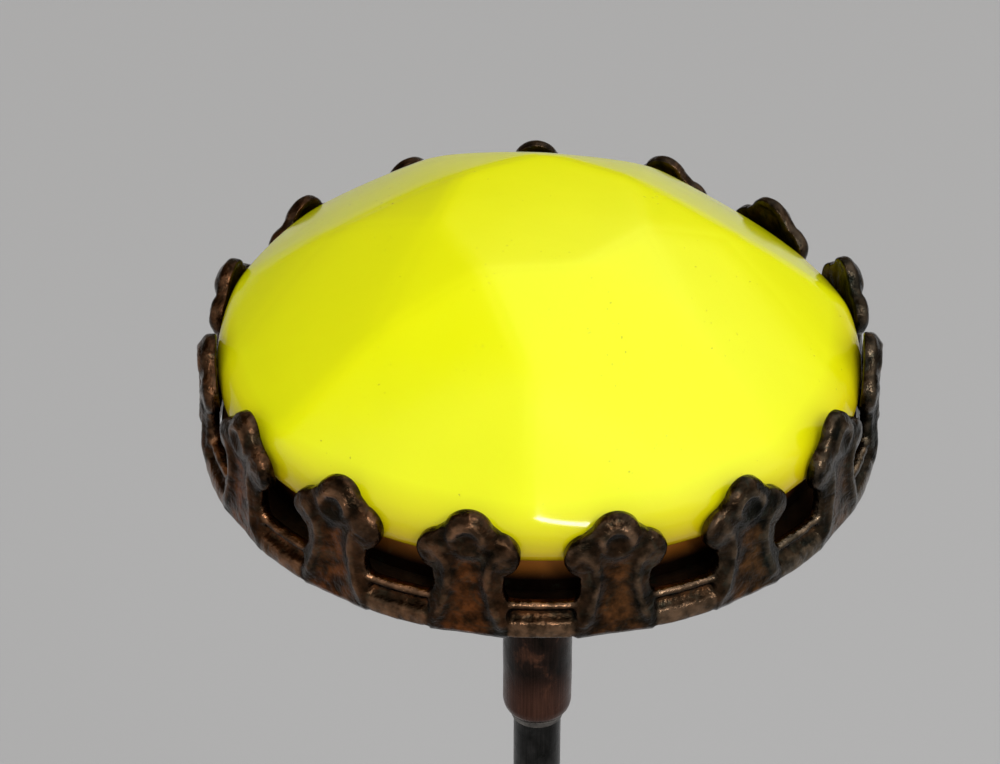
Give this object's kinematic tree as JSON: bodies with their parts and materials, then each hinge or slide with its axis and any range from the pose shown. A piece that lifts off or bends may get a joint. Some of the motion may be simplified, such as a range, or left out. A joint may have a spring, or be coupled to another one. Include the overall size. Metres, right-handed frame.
{
  "type": "hat pin",
  "caption": "Hat pin with a domed, faceted opaque yellow glass stone in a dark pronged gallery crown, on a ferrule and a long pointed stem.",
  "frame": {"origin": "on the pin's axis, where the stem leaves the ferrule's mouth, level with the hat's surface when it is worn", "axes": "+Z along the stem towards the head; -Y is the front, in the middle of the view; +X to the right"},
  "size_m": [0.0194, 0.0194, 0.15],
  "materials": {
    "yellow_glass": "opaque lemon yellow, fire polished",
    "crown_patina": "stamped brass, dark brown patina rubbed to copper on the edges",
    "inner_metal": "dull dark brass",
    "solder": "dull grey soft solder",
    "ferrule_patina": "drawn brass tube, near-black reddish patina",
    "stem_steel": "darkened drawn steel wire",
    "packing_card": "plain brown card"
  },
  "bodies": {
    "root": {"faceted_stone": "yellow_glass", "crown_gallery": "crown_patina", "gallery_seam": "solder", "bearing_ring": "inner_metal", "packing_disc": "packing_card", "base_plate": "inner_metal", "rim_solder": "solder", "ferrule": "ferrule_patina", "ferrule_solder": "solder", "mouth_solder": "solder", "stem": "stem_steel"}
  },
  "joints": []
}
